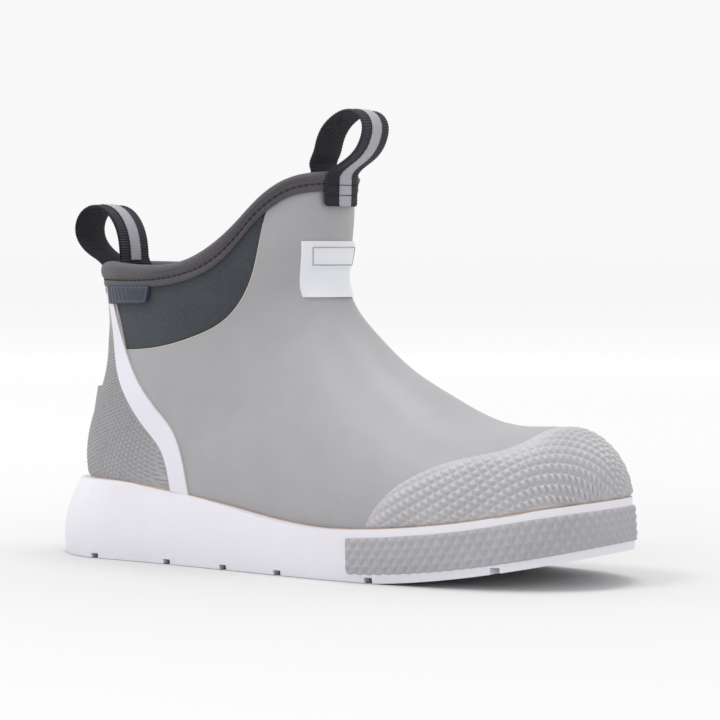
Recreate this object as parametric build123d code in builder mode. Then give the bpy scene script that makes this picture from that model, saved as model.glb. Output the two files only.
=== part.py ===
"""Ankle-height deck boot for the right foot.

Frame: +X towards the toe, +Y towards the inner (medial) side, +Z up. The sole stands on
Z = 0, and the origin lies under the middle of the boot. All sizes are in millimetres.
"""
from build123d import *
from math import cos, hypot, radians, sin
import os

os.makedirs("parts", exist_ok=True)

# ---------------------------------------------------------------- driving dimensions

HEEL_X = -145.0
TOE_X = 145.0
HALF_SPAN = 90.0              # reach of a side-view cutter to each side
REACH = 220.0                 # reach of a side-view cutter fore and aft
CEILING = 300.0
GROUND = -40.0

# Thickness of each layer of the upper, from the outside in.
SHELL = 2.0
BOOTIE = 3.0
LINING = 0.8
BINDING = 1.0
OVERLAY = 1.2                 # toe cap and heel cover
STRIPE = 1.0
GUSSET_DEPTH = 0.6            # how far the gusset lies below the rubber around it
STIFFENER = 1.2

KICK_TAB_WIDTH = 22.0
BADGE = 1.0
BADGE_INLAY = 0.5
BADGE_REACH = 60.0
SHAFT_MIDDLE = -50.0
LABEL = 0.8
SHANK = 1.5
SHANK_WIDTH = 20.0
SHANK_BACK = -96.0
SHANK_FRONT = 12.0

# Layers under the foot, counted up from the lasting line.
BOARD = 2.5
FOOTBED = 5.0
FOOTBED_COVER = 0.8

# Depth of each surface below the outside of the rubber.
BOOTIE_FACE = -SHELL
LINING_FACE = BOOTIE_FACE - BOOTIE
FOOT_FACE = LINING_FACE - LINING
INNER_BINDING_FACE = FOOT_FACE - BINDING

# Height of each floor above the lasting line.
BOARD_FLOOR = SHELL
BOOTIE_FLOOR = BOARD_FLOOR + BOARD
LINING_FLOOR = BOOTIE_FLOOR + BOOTIE
FOOTBED_FLOOR = LINING_FLOOR + LINING
COVER_FLOOR = FOOTBED_FLOOR + FOOTBED
FOOT_FLOOR = COVER_FLOOR + FOOTBED_COVER

# Sole.
TOE_SPRING = 15.0             # height of the sole's edge at the toe
SPRING_START = 42.0           # where the sole leaves the ground
SPRING_POWER = 1.6
HEEL_LIFT = 3.0
HEEL_LIFT_START = -125.0
BEDDING = 0.4                 # how far the bottom curve dips below the level that it stands on
TREAD = 4.0                   # thickness of the tread plate
TREAD_INSET = 3.0             # rim of the cup around the tread plate
GROOVE_DEPTH = 2.2
GROOVE_WIDTH = 4.0
GROOVE_X = (-108, -65, -31, 1, 50, 108)
SIPE_WIDTH = 1.6
SIPE_DEPTH = 1.8
SIPE_X = (-124, -92, -79, -49, -15, 17, 33, 67, 82, 95, 122)
SIPE_REACH = 26.0
CHEVRON_RISE = 9.0            # how far a sipe's middle leads its ends
BUMPER = 1.0
BUMPER_START = 39.0
BUMPER_CORNER = 4.0
BUMPER_MARGIN = 3.4           # white midsole left above and below the bumper

# Pull loops, of flat webbing.
WEBBING_WIDTH = 24.0
WEBBING = 1.4
LOOP_YAW = 4.0                # the loops sit square to the ankle, turned from the sole's line
TAPE_WIDTH = 8.4
TAPE = 0.35
FRONT_OUTER_END = (161.5, 172.5)      # lowest and highest point of each sewn end
FRONT_INNER_END = (158.0, 171.0)
REAR_OUTER_END = (121.0, 131.0)
REAR_INNER_END = (118.0, 130.0)

# Sections of the foot and shaft, from toe to collar, each in a plane across the boot that
# runs from a bottom point to a top point (x, z). Then: half width on the outer and inner
# side, where it is widest (0 bottom, 1 top), how square the lower and upper half are
# (2 is an ellipse), and how far the section moves forward as the form grows.
STATIONS = [
    ((141.0, 22.0), (141.0, 41.0), 10.0, 15.0, 0.50, 2.20, 2.20, 1.00),
    ((138.0, 17.0), (138.0, 51.5), 17.5, 22.5, 0.42, 2.60, 2.20, 0.90),
    ((130.5, 12.0), (130.5, 61.0), 27.5, 30.5, 0.40, 2.80, 2.20, 0.65),
    ((118.0, 9.0), (118.0, 66.0), 37.0, 38.5, 0.38, 3.00, 2.20, 0.30),
    ((99.0, 7.0), (99.0, 66.0), 43.5, 43.5, 0.36, 3.00, 2.10, 0.10),
    ((75.0, 6.0), (78.0, 69.0), 47.0, 46.0, 0.34, 3.00, 2.00, 0.0),
    ((46.0, 6.0), (57.0, 78.5), 47.5, 44.5, 0.31, 2.80, 1.95, 0.0),
    ((14.0, 6.0), (38.0, 89.5), 44.5, 39.0, 0.30, 2.60, 1.95, 0.0),
    ((-22.0, 6.0), (23.5, 101.5), 41.0, 35.5, 0.29, 2.50, 2.00, 0.0),
    ((-62.0, 6.0), (13.5, 111.5), 38.5, 34.5, 0.31, 2.40, 2.00, 0.0),
    ((-112.0, 6.0), (7.5, 120.0), 36.0, 34.5, 0.37, 2.30, 2.00, 0.0),
    ((-133.5, 44.0), (4.5, 127.5), 34.5, 34.0, 0.42, 2.20, 2.00, 0.0),
    ((-122.5, 82.0), (3.5, 135.0), 34.5, 34.5, 0.48, 2.20, 2.00, 0.0),
    ((-119.5, 108.0), (3.5, 145.0), 36.5, 36.5, 0.50, 2.30, 2.20, 0.0),
    ((-121.0, 132.0), (4.0, 162.0), 38.5, 38.5, 0.50, 2.40, 2.30, 0.0),
    ((-122.0, 160.0), (4.5, 186.0), 39.5, 39.5, 0.50, 2.40, 2.30, 0.0),
]

# Outline of the sole at its widest level: Bezier arcs from point to point, each with its
# two handles, from the back of the heel along the outer side to the toe and back.
SOLE_OUTLINE = [
    ((HEEL_X, 0), (HEEL_X, -22), (-128, -38.5), (-105, -38.5)),
    ((-105, -38.5), (-50, -38.5), (0, -51), (42, -51)),
    ((42, -51), (98, -51), (TOE_X, -40), (TOE_X, 2)),
    ((TOE_X, 2), (TOE_X, 38), (106, 51.2), (62, 51.2)),
    ((62, 51.2), (30, 51.2), (5, 35.7), (-35, 35.7)),
    ((-35, 35.7), (-58, 35.7), (-82, 38.2), (-105, 38.2)),
    ((-105, 38.2), (-128, 38.2), (HEEL_X, 22), (HEEL_X, 0)),
]
SOLE_HALF_WIDTH = 45.0        # mean half width, which turns a side inset into a scale

# Levels of the sole's flared wall: height, then how far the wall lies inside the widest
# outline at the heel, at the toe, at the heel's sides and at the toe's sides.
SOLE_LEVELS = [
    (-4.0, 3.0, 3.0, 1.5, 2.0),
    (12.0, 0.0, 0.0, 0.0, 0.0),
    (26.0, 3.4, 0.2, 2.4, 0.3),
    (44.0, 14.0, 1.6, 9.5, 1.2),
]

# Side-view lines, as (x, z) from heel to toe.
BOTTOM_LINE_X = (-160, -150, -140, -132, -125, -112, -90, -40, 0, 25, 42, 60, 80, 100, 120, 145, 160)
BUMPER_LINE_X = (BUMPER_START, 60, 80, 100, 120, 145, 160)
LASTING_LINE = [(-160, 17), (-100, 17), (-60, 16), (-20, 13.5), (20, 12), (50, 12),
                (75, 14), (100, 17.5), (125, 22.5), (160, 31)]
MIDSOLE_TOP = [(-160, 35.5), (-128, 35.5), (-99, 35.8), (-65, 33), (-27, 27.6), (4, 23), (24, 21.8),
               (46, 22.6), (70, 24.8), (98, 28.6), (123, 33.4), (145, 36.8), (160, 38.5)]
COLLAR_TOP = [(-150, 135.5), (-100, 135), (-75, 134), (-58, 136.3), (-43, 143.2), (-30, 153.5),
              (-15, 168.5), (-6, 174), (6, 176.5), (30, 177)]
BINDING_EDGE = [(-150, 125.5), (-108, 125.2), (-82, 125.2), (-58, 128), (-41.5, 134.4), (-31.5, 142.3),
                (-22.5, 152.3), (-13, 161.5), (-5, 166.5), (6, 168.6), (30, 169)]
STRIPE_REAR = [(-110, 128), (-106, 99.5), (-103, 89.5), (-92, 73.5), (-80, 60.5), (-71, 51.5),
               (-66, 39), (-64, 28)]
STRIPE_FRONT = [(-105.5, 128), (-95.4, 96), (-84, 80), (-74, 69.5), (-65, 60.5), (-59, 49),
                (-56, 39.5), (-53.5, 28)]
GUSSET_EDGE = [(-95.4, 96), (-75, 97.7), (-54, 103), (-39, 110.5), (-29.7, 120.7), (-23.4, 132.7),
               (-19, 148), (-16, 160), (-11, 176)]
TOE_CAP_EDGE = [(43, 18), (49, 29), (57, 38.5), (68, 46.5), (84, 53.5), (102, 58), (112, 63), (117, 72)]

# Middle line of each loop's free webbing in side view, from the inner leg over to the outer.
FRONT_LOOP = [(-5.8, 180.2), (-4.3, 185), (-2.6, 190.5), (0.2, 196.3), (5.5, 201.2), (12.5, 203.8),
              (18, 202.2), (20.6, 198), (20.2, 192.5), (17.8, 187.3), (13.4, 182.8), (9.4, 180)]
REAR_LOOP = [(-113.9, 139), (-114.4, 145), (-115.8, 151), (-118.6, 156.5), (-123, 160.8),
             (-129, 162.6), (-135, 160.5), (-138.6, 155.5), (-138.9, 149.5), (-135.6, 143.8),
             (-130.5, 139.8), (-126, 137)]
STIFFENER_EDGE = [(-58, -10), (-66, 30), (-80, 60), (-100, 74), (-150, 80)]
STIFFENER_BACK = [(-REACH, 80), (-REACH, -10)]
TOE_PUFF_EDGE = [(84, -10), (86, 25), (92, 45), (101, 60), (108, 90)]
TOE_PUFF_FRONT = [(REACH, 90), (REACH, -10)]
WINDOW_TOP = [(-11, 200), (-113, 200), (-105.5, 128)]
KICK_TAB = [(-127, 78), (-100, 78), (-100, 60), (-130, 60), (-129.6, 65)]
LABEL_CORNERS = [(-108.5, 125.6), (-76, 125.6), (-79, 118), (-107.5, 117)]

# Front-view corners of the badge and its inlay, as (y, z).
BADGE_CORNERS = [(-20.5, 146), (20.5, 146), (17, 121), (-17, 121)]
INLAY_CORNERS = [(-18.4, 144.5), (18.4, 144.5), (16.9, 134), (-16.9, 134)]

FRONT_PIVOT = (0.5, 174.5)
REAR_PIVOT = (-118.0, 132.5)


# ---------------------------------------------------------------- forms and cutters

def quarter_handle(squareness):
    """Bezier handle length, as a part of the half width, of a quarter of a superellipse."""
    return (8 * 2 ** (-1 / squareness) - 4) / 3


def section_quarters(station, grow):
    """The four Bezier quarters of one section, in its own plane, going round from below."""
    bottom, top, outer, inner, widest, low_square, high_square, _ = station
    height = hypot(top[0] - bottom[0], top[1] - bottom[1])
    middle = widest * height
    low, high = -grow, height + grow
    quarters = []
    for side, end, squareness, rising in (
        (-inner - grow, low, low_square, True),
        (-inner - grow, high, high_square, False),
        (outer + grow, high, high_square, True),
        (outer + grow, low, low_square, False),
    ):
        reach = quarter_handle(squareness)
        points = [(0, end), (reach * side, end), (side, middle + reach * (end - middle)), (side, middle)]
        quarters.append(points if rising else points[::-1])
    return quarters


def section_plane(station, grow):
    """The section's plane, with local X to the outer side and local Y from bottom to top."""
    bottom, top, *_, lead = station
    height = hypot(top[0] - bottom[0], top[1] - bottom[1])
    along_x, along_z = (top[0] - bottom[0]) / height, (top[1] - bottom[1]) / height
    start = (bottom[0] + lead * grow, 0, bottom[1])
    return Plane(origin=start, x_dir=(0, -1, 0), z_dir=(-along_z, 0, along_x))


def upper_form(grow):
    """The solid shape of foot and shaft, with its surface moved out by grow.

    Each rim keeps its four curves apart, which gives the loft four clean faces.
    """
    rims = []
    for station in STATIONS:
        curves = [Edge.make_bezier(*points) for points in section_quarters(station, grow)]
        rims.append(section_plane(station, grow).location * Face(Wire(curves)))
    with BuildPart() as form:
        loft(rims, clean=False)
    return form.part


def sole_form(grow):
    """The solid inside the sole's flared wall, with the wall moved out by grow."""
    rims = []
    for height, heel, toe, heel_side, toe_side in SOLE_LEVELS:
        curves = []
        for arc in SOLE_OUTLINE:
            points = []
            for x, y in arc:
                forward = (x - HEEL_X) / (TOE_X - HEEL_X)
                inset = heel_side + (toe_side - heel_side) * forward - grow
                inner_x = HEEL_X + heel - grow + forward * (TOE_X - HEEL_X - heel - toe + 2 * grow)
                points.append((inner_x, y * (1 - inset / SOLE_HALF_WIDTH)))
            curves.append(Edge.make_bezier(*points))
        rims.append(Plane.XY.offset(height).location * Face(Wire(curves)))
    with BuildPart() as form:
        loft(rims, clean=False)
    return form.part


def sole_bottom(x):
    """Height of the sole's underside, with its toe spring and its rounded heel edge."""
    if x > SPRING_START:
        return TOE_SPRING * ((x - SPRING_START) / (TOE_X - SPRING_START)) ** SPRING_POWER
    if x < HEEL_LIFT_START:
        return HEEL_LIFT * ((HEEL_LIFT_START - x) / (HEEL_LIFT_START - HEEL_X)) ** 2
    return 0.0


def side_slab(low, high, low_shift=0.0, high_shift=0.0, corner=0.0):
    """Everything between two side-view lines, right across the boot."""
    with BuildPart() as slab:
        with BuildSketch(Plane.XZ) as profile:
            with BuildLine():
                lower = Spline(*[(x, z + low_shift) for x, z in low])
                upper = Spline(*[(x, z + high_shift) for x, z in high])
                Line(lower @ 0, upper @ 0)
                Line(lower @ 1, upper @ 1)
            make_face()
            if corner:
                fillet(profile.vertices().group_by(Axis.X)[0], radius=corner)
        extrude(amount=HALF_SPAN, both=True)
    return slab.part


def side_block(first, second, sides=(1, -1)):
    """A cutter between a side-view line and a second run of points, on the sides asked for.

    Side 1 is the outer side and side -1 the inner side.
    """
    with BuildPart() as block:
        for side in sides:
            with BuildSketch(Plane.XZ):
                with BuildLine():
                    edge = Spline(*first)
                    Polyline(edge @ 1, *second, edge @ 0)
                make_face()
            extrude(amount=side * HALF_SPAN)
    return block.part


def beyond(line, height, shift):
    """A cutter from a side-view line to a height, carried on level past both its ends."""
    raised = [(x, z + shift) for x, z in line]
    first_z, last_z = raised[0][1], raised[-1][1]
    return side_block(raised, [(REACH, last_z), (REACH, height), (-REACH, height), (-REACH, first_z)])


def above(line, shift=0.0):
    """Everything over a side-view line."""
    return beyond(line, CEILING, shift)


def below(line, shift=0.0):
    """Everything under a side-view line."""
    return beyond(line, GROUND, shift)


def webbing_box(x_range, z_range, width=WEBBING_WIDTH):
    """A block as wide as the webbing, which cuts a sewn end out of a skin."""
    with BuildPart() as block:
        with BuildSketch(Plane.XZ):
            with BuildLine():
                Polyline((x_range[0], z_range[0]), (x_range[1], z_range[0]),
                         (x_range[1], z_range[1]), (x_range[0], z_range[1]), close=True)
            make_face()
        extrude(amount=width / 2, both=True)
    return block.part


def loop_plane(pivot):
    """A side-view plane through a loop's pivot, turned by the loops' yaw."""
    yaw = radians(LOOP_YAW)
    origin = (pivot[0], 0, pivot[1])
    return Plane(origin=origin, x_dir=(cos(yaw), sin(yaw), 0), z_dir=(sin(yaw), -cos(yaw), 0))


def moved_aside(route, distance):
    """A route's points moved to its left by a distance."""
    moved = []
    for index, (x, z) in enumerate(route):
        before = route[max(index - 1, 0)]
        after = route[min(index + 1, len(route) - 1)]
        length = hypot(after[0] - before[0], after[1] - before[1])
        step_x = (after[0] - before[0]) / length
        step_z = (after[1] - before[1]) / length
        moved.append((x - distance * step_z, z + distance * step_x))
    return moved


def loop_band(route, pivot, one_side, other_side, width):
    """A band along a loop's route, between two distances to the left of its middle line."""
    with BuildPart() as band:
        with BuildSketch(loop_plane(pivot)):
            with BuildLine():
                local = [(x - pivot[0], z - pivot[1]) for x, z in route]
                one = Spline(*moved_aside(local, one_side))
                other = Spline(*moved_aside(local, other_side))
                Line(one @ 0, other @ 0)
                Line(one @ 1, other @ 1)
            make_face()
        extrude(amount=width / 2, both=True)
    return band.part


def skin(outside, inside, *cutters):
    """A patch of the skin between two forms, kept where all the cutters meet."""
    with BuildPart() as patch:
        add(outside)
        for cutter in cutters:
            add(cutter, mode=Mode.INTERSECT)
        add(inside, mode=Mode.SUBTRACT)
    return patch.part


def sock(outside, outside_floor, inside, inside_floor):
    """A layer of the upper between two forms, each with its own floor, up to the collar."""
    with BuildPart() as room:
        add(inside)
        add(above(LASTING_LINE, inside_floor), mode=Mode.INTERSECT)
    with BuildPart() as layer:
        add(outside)
        add(above(LASTING_LINE, outside_floor), mode=Mode.INTERSECT)
        add(under_collar, mode=Mode.INTERSECT)
        add(room.part, mode=Mode.SUBTRACT)
    return layer.part


def finish(piece, label):
    """Name a finished piece and write it."""
    piece.part.label = label
    export_step(piece.part, f"parts/{label}.step")


# Surfaces shared by several pieces.
outer_face = upper_form(0)
bootie_face = upper_form(BOOTIE_FACE)
lining_face = upper_form(LINING_FACE)
foot_face = upper_form(FOOT_FACE)
binding_outside = upper_form(BINDING)
binding_inside = upper_form(INNER_BINDING_FACE)
overlay_face = upper_form(OVERLAY)
wall = sole_form(0)

bottom_line = [(x, sole_bottom(x) - BEDDING) for x in BOTTOM_LINE_X]
under_collar = below(COLLAR_TOP, -BINDING)
over_midsole = above(MIDSOLE_TOP)
under_binding = below(BINDING_EDGE)

# ---------------------------------------------------------------- upper

# The rubber shell is one moulded sock, with a window for the gusset on each side.
with BuildPart() as rubber_shell:
    add(sock(outer_face, 0, bootie_face, BOARD_FLOOR))
    add(side_block(GUSSET_EDGE, WINDOW_TOP), mode=Mode.SUBTRACT)
finish(rubber_shell, "rubber_shell")

# The gussets fill the windows, a little below the rubber around them.
gusset_face = upper_form(-GUSSET_DEPTH)
for side, label in ((1, "gusset_panel_lateral"), (-1, "gusset_panel_medial")):
    with BuildPart() as gusset_panel:
        add(skin(gusset_face, bootie_face, side_block(GUSSET_EDGE, WINDOW_TOP, (side,)), under_collar))
    finish(gusset_panel, label)

# The board closes the bottom of the last. Its slot holds the shank under the arch.
shank_zone = Pos((SHANK_BACK + SHANK_FRONT) / 2, 0, 0) * Box(
    SHANK_FRONT - SHANK_BACK, SHANK_WIDTH, 2 * CEILING)
with BuildPart() as shank:
    add(side_slab(LASTING_LINE, LASTING_LINE, BOARD_FLOOR, BOARD_FLOOR + SHANK))
    add(shank_zone, mode=Mode.INTERSECT)
finish(shank, "shank")

with BuildPart() as insole_board:
    add(bootie_face)
    add(side_slab(LASTING_LINE, LASTING_LINE, BOARD_FLOOR, BOOTIE_FLOOR), mode=Mode.INTERSECT)
    add(shank.part, mode=Mode.SUBTRACT)
finish(insole_board, "insole_board")

# Cupped stiffeners at heel and toe lie between the rubber and the bootie.
stiffener_face = upper_form(BOOTIE_FACE - STIFFENER)
over_board = above(LASTING_LINE, BOOTIE_FLOOR)
with BuildPart() as heel_stiffener:
    add(skin(bootie_face, stiffener_face, over_board, side_block(STIFFENER_EDGE, STIFFENER_BACK)))
finish(heel_stiffener, "heel_stiffener")

with BuildPart() as toe_puff:
    add(skin(bootie_face, stiffener_face, over_board, side_block(TOE_PUFF_EDGE, TOE_PUFF_FRONT)))
finish(toe_puff, "toe_puff")

with BuildPart() as neoprene_bootie:
    add(sock(bootie_face, BOOTIE_FLOOR, lining_face, LINING_FLOOR))
    add(heel_stiffener.part, mode=Mode.SUBTRACT)
    add(toe_puff.part, mode=Mode.SUBTRACT)
finish(neoprene_bootie, "neoprene_bootie")

with BuildPart() as mesh_lining:
    add(sock(lining_face, LINING_FLOOR, foot_face, FOOTBED_FLOOR))
finish(mesh_lining, "mesh_lining")

# The footbed lies loose on the lining, under its fabric cover.
for low, high, label in ((FOOTBED_FLOOR, COVER_FLOOR, "footbed"), (COVER_FLOOR, FOOT_FLOOR, "footbed_cover")):
    with BuildPart() as insole:
        add(foot_face)
        add(side_slab(LASTING_LINE, LASTING_LINE, low, high), mode=Mode.INTERSECT)
    finish(insole, label)

# The binding is a tape folded over the raw edge of all the layers.
with BuildPart() as bound_edge:
    add(skin(outer_face, foot_face, under_collar))
with BuildPart() as collar_binding:
    add(skin(binding_outside, binding_inside, above(BINDING_EDGE), below(COLLAR_TOP)))
    add(bound_edge.part, mode=Mode.SUBTRACT)
finish(collar_binding, "collar_binding")

# ---------------------------------------------------------------- overlays

heel_zone = side_block(STRIPE_REAR, [(-64, GROUND), (-REACH, GROUND), (-REACH, 128)])
with BuildPart() as heel_counter_cover:
    add(skin(overlay_face, outer_face, heel_zone, over_midsole, under_binding))
finish(heel_counter_cover, "heel_counter_cover")

stripe_face = upper_form(STRIPE)
for side, label in ((1, "heel_stripe_lateral"), (-1, "heel_stripe_medial")):
    with BuildPart() as stripe_zone:
        with BuildSketch(Plane.XZ):
            with BuildLine():
                rear_edge = Spline(*STRIPE_REAR)
                front_edge = Spline(*STRIPE_FRONT)
                Line(rear_edge @ 0, front_edge @ 0)
                Line(rear_edge @ 1, front_edge @ 1)
            make_face()
        extrude(amount=side * HALF_SPAN)
    with BuildPart() as heel_stripe:
        add(skin(stripe_face, outer_face, stripe_zone.part, over_midsole, under_binding))
    finish(heel_stripe, label)

toe_zone = side_block(TOE_CAP_EDGE, [(REACH, 72), (REACH, 18)])
with BuildPart() as toe_cap:
    add(skin(overlay_face, outer_face, toe_zone, over_midsole))
finish(toe_cap, "toe_cap")

# The kick tab is a wedge on the heel, flat on top for the other foot's toe.
with BuildPart() as kick_tab:
    with BuildSketch(Plane.XZ):
        with BuildLine():
            Polyline(*KICK_TAB, close=True)
        make_face()
    extrude(amount=KICK_TAB_WIDTH / 2, both=True)
    add(overlay_face, mode=Mode.SUBTRACT)
finish(kick_tab, "kick_tab")

# The badge on the shaft front, and its framed inlay.
badge_face = upper_form(BADGE)
badge_inlay_face = upper_form(BADGE + BADGE_INLAY)
for outside, inside, corners, label in (
    (badge_face, outer_face, BADGE_CORNERS, "front_badge"),
    (badge_inlay_face, badge_face, INLAY_CORNERS, "badge_panel"),
):
    with BuildPart() as badge_zone:
        with BuildSketch(Plane.YZ):
            with BuildLine():
                Polyline(*corners, close=True)
            make_face()
        extrude(amount=BADGE_REACH, both=True)
        split(bisect_by=Plane.YZ.offset(SHAFT_MIDDLE), keep=Keep.TOP)
    with BuildPart() as badge:
        add(skin(outside, inside, badge_zone.part))
    finish(badge, label)

# The woven label hangs from the binding's edge on the outer side.
label_back = upper_form(OVERLAY)
label_front = upper_form(OVERLAY + LABEL)
with BuildPart() as label_zone:
    with BuildSketch(Plane.XZ):
        with BuildLine():
            Polyline(*LABEL_CORNERS, close=True)
        make_face()
    extrude(amount=HALF_SPAN)
with BuildPart() as side_label:
    add(skin(label_front, label_back, label_zone.part))
finish(side_label, "side_label")

# ---------------------------------------------------------------- sole

# Six wide grooves run right across and open at the sole's edge.
with BuildPart() as grooves:
    for x in GROOVE_X:
        with BuildSketch(Plane.XZ):
            with Locations((x, 0)):
                Rectangle(GROOVE_WIDTH, 2 * (sole_bottom(x) + GROOVE_DEPTH))
        extrude(amount=HALF_SPAN, both=True)

# Fine V-shaped sipes between them stay inside the tread plate.
with BuildPart() as sipes:
    for x in SIPE_X:
        with BuildSketch(Plane.XY):
            with BuildLine():
                half = SIPE_WIDTH / 2
                Polyline(
                    (x - half, -SIPE_REACH), (x + CHEVRON_RISE - half, 0), (x - half, SIPE_REACH),
                    (x + half, SIPE_REACH), (x + CHEVRON_RISE + half, 0), (x + half, -SIPE_REACH),
                    close=True,
                )
            make_face()
        extrude(amount=sole_bottom(x + CHEVRON_RISE / 2) + SIPE_DEPTH, both=True)

with BuildPart() as outsole:
    add(sole_form(-TREAD_INSET))
    add(side_slab(bottom_line, bottom_line, 0, TREAD), mode=Mode.INTERSECT)
    split(bisect_by=Plane.XY, keep=Keep.TOP)
    tread_blank = outsole.part
    add(grooves.part, mode=Mode.SUBTRACT)
    add(sipes.part, mode=Mode.SUBTRACT)
finish(outsole, "outsole")

# The midsole is a cup that takes the lasted upper, with the tread plate let into its base.
with BuildPart() as lasted_upper:
    add(outer_face)
    add(above(LASTING_LINE), mode=Mode.INTERSECT)
with BuildPart() as midsole:
    add(wall)
    add(side_slab(bottom_line, MIDSOLE_TOP), mode=Mode.INTERSECT)
    split(bisect_by=Plane.XY, keep=Keep.TOP)
    add(tread_blank, mode=Mode.SUBTRACT)
    add(grooves.part, mode=Mode.SUBTRACT)
    add(lasted_upper.part, mode=Mode.SUBTRACT)
finish(midsole, "midsole")

bumper_low = [(x, sole_bottom(x)) for x in BUMPER_LINE_X]
bumper_high = [(BUMPER_START, 22.2)] + [point for point in MIDSOLE_TOP if point[0] > BUMPER_START]
with BuildPart() as toe_bumper:
    add(sole_form(BUMPER))
    add(side_slab(bumper_low, bumper_high, BUMPER_MARGIN, -BUMPER_MARGIN, BUMPER_CORNER), mode=Mode.INTERSECT)
    add(wall, mode=Mode.SUBTRACT)
finish(toe_bumper, "toe_bumper")

# ---------------------------------------------------------------- pull loops

# Each loop is one length of webbing: two sewn ends that hold still, and the free part
# between them, which swings about the collar's edge and carries the reflective tape.
webbing_face = upper_form(BINDING + WEBBING)
tape_face = upper_form(BINDING + WEBBING + TAPE)
inner_webbing_face = upper_form(INNER_BINDING_FACE - WEBBING)
rear_webbing_face = upper_form(OVERLAY + WEBBING)

for name, route, pivot, outward in (
    ("front", FRONT_LOOP, FRONT_PIVOT, 1),
    ("rear", REAR_LOOP, REAR_PIVOT, -1),
):
    face = outward * WEBBING / 2
    with BuildPart() as free_loop:
        add(loop_band(route, pivot, -face, face, WEBBING_WIDTH))
    finish(free_loop, f"{name}_loop")
    with BuildPart() as reflective_strip:
        add(loop_band(route, pivot, face, face + outward * TAPE, TAPE_WIDTH))
    finish(reflective_strip, f"{name}_reflective_strip")

front_outer_zone = webbing_box((SHAFT_MIDDLE, REACH), FRONT_OUTER_END)
front_inner_zone = webbing_box((SHAFT_MIDDLE, REACH), FRONT_INNER_END)
rear_outer_zone = webbing_box((-REACH, SHAFT_MIDDLE), REAR_OUTER_END)
rear_inner_zone = webbing_box((-REACH, SHAFT_MIDDLE), REAR_INNER_END)
patch_zone = webbing_box((SHAFT_MIDDLE, REACH), FRONT_OUTER_END, TAPE_WIDTH)
for outside, inside, zone, label in (
    (webbing_face, binding_outside, front_outer_zone, "front_loop_outer_end"),
    (binding_inside, inner_webbing_face, front_inner_zone, "front_loop_inner_end"),
    (tape_face, webbing_face, patch_zone, "front_patch_strip"),
    (rear_webbing_face, overlay_face, rear_outer_zone, "rear_loop_outer_end"),
    (binding_inside, inner_webbing_face, rear_inner_zone, "rear_loop_inner_end"),
):
    with BuildPart() as sewn_end:
        add(skin(outside, inside, zone))
    finish(sewn_end, label)
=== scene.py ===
"""A deck boot in its studio: rubber shell and sole with moulded textures, fabric panels and webbing loops."""
import bpy
import math
import numpy as np
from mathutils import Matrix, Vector
from mathutils.bvhtree import BVHTree


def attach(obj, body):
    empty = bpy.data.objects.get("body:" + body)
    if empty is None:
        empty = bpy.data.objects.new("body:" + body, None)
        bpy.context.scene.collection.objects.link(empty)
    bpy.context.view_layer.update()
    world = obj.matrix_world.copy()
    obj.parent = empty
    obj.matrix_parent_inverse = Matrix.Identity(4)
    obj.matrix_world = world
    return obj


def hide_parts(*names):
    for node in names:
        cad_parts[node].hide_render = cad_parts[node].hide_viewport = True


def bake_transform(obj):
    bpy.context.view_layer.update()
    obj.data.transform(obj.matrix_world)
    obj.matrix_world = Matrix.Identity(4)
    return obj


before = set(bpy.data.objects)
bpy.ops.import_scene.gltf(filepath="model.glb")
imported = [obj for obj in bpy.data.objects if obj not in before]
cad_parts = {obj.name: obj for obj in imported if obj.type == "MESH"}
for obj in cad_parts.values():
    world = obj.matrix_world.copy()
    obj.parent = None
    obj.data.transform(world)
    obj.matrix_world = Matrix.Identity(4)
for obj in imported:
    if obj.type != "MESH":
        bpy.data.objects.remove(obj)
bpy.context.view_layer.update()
MM = 0.001

# ------------------------------------------------ shapes shared with the CAD part, in millimetres

STATIONS = [
    # bottom, top, half width outside and inside, widest share, lower and upper squareness, lead
    ((141.0, 22.0), (141.0, 41.0), 10.0, 15.0, 0.50, 2.20, 2.20, 1.00),
    ((138.0, 17.0), (138.0, 51.5), 17.5, 22.5, 0.42, 2.60, 2.20, 0.90),
    ((130.5, 12.0), (130.5, 61.0), 27.5, 30.5, 0.40, 2.80, 2.20, 0.65),
    ((118.0, 9.0), (118.0, 66.0), 37.0, 38.5, 0.38, 3.00, 2.20, 0.30),
    ((99.0, 7.0), (99.0, 66.0), 43.5, 43.5, 0.36, 3.00, 2.10, 0.10),
    ((75.0, 6.0), (78.0, 69.0), 47.0, 46.0, 0.34, 3.00, 2.00, 0.0),
    ((46.0, 6.0), (57.0, 78.5), 47.5, 44.5, 0.31, 2.80, 1.95, 0.0),
    ((14.0, 6.0), (38.0, 89.5), 44.5, 39.0, 0.30, 2.60, 1.95, 0.0),
    ((-22.0, 6.0), (23.5, 101.5), 41.0, 35.5, 0.29, 2.50, 2.00, 0.0),
    ((-62.0, 6.0), (13.5, 111.5), 38.5, 34.5, 0.31, 2.40, 2.00, 0.0),
    ((-112.0, 6.0), (7.5, 120.0), 36.0, 34.5, 0.37, 2.30, 2.00, 0.0),
    ((-133.5, 44.0), (4.5, 127.5), 34.5, 34.0, 0.42, 2.20, 2.00, 0.0),
    ((-122.5, 82.0), (3.5, 135.0), 34.5, 34.5, 0.48, 2.20, 2.00, 0.0),
    ((-119.5, 108.0), (3.5, 145.0), 36.5, 36.5, 0.50, 2.30, 2.20, 0.0),
    ((-121.0, 132.0), (4.0, 162.0), 38.5, 38.5, 0.50, 2.40, 2.30, 0.0),
    ((-122.0, 160.0), (4.5, 186.0), 39.5, 39.5, 0.50, 2.40, 2.30, 0.0),
]
HEEL_X, TOE_X = -145.0, 145.0
SOLE_HALF_WIDTH = 45.0
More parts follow.
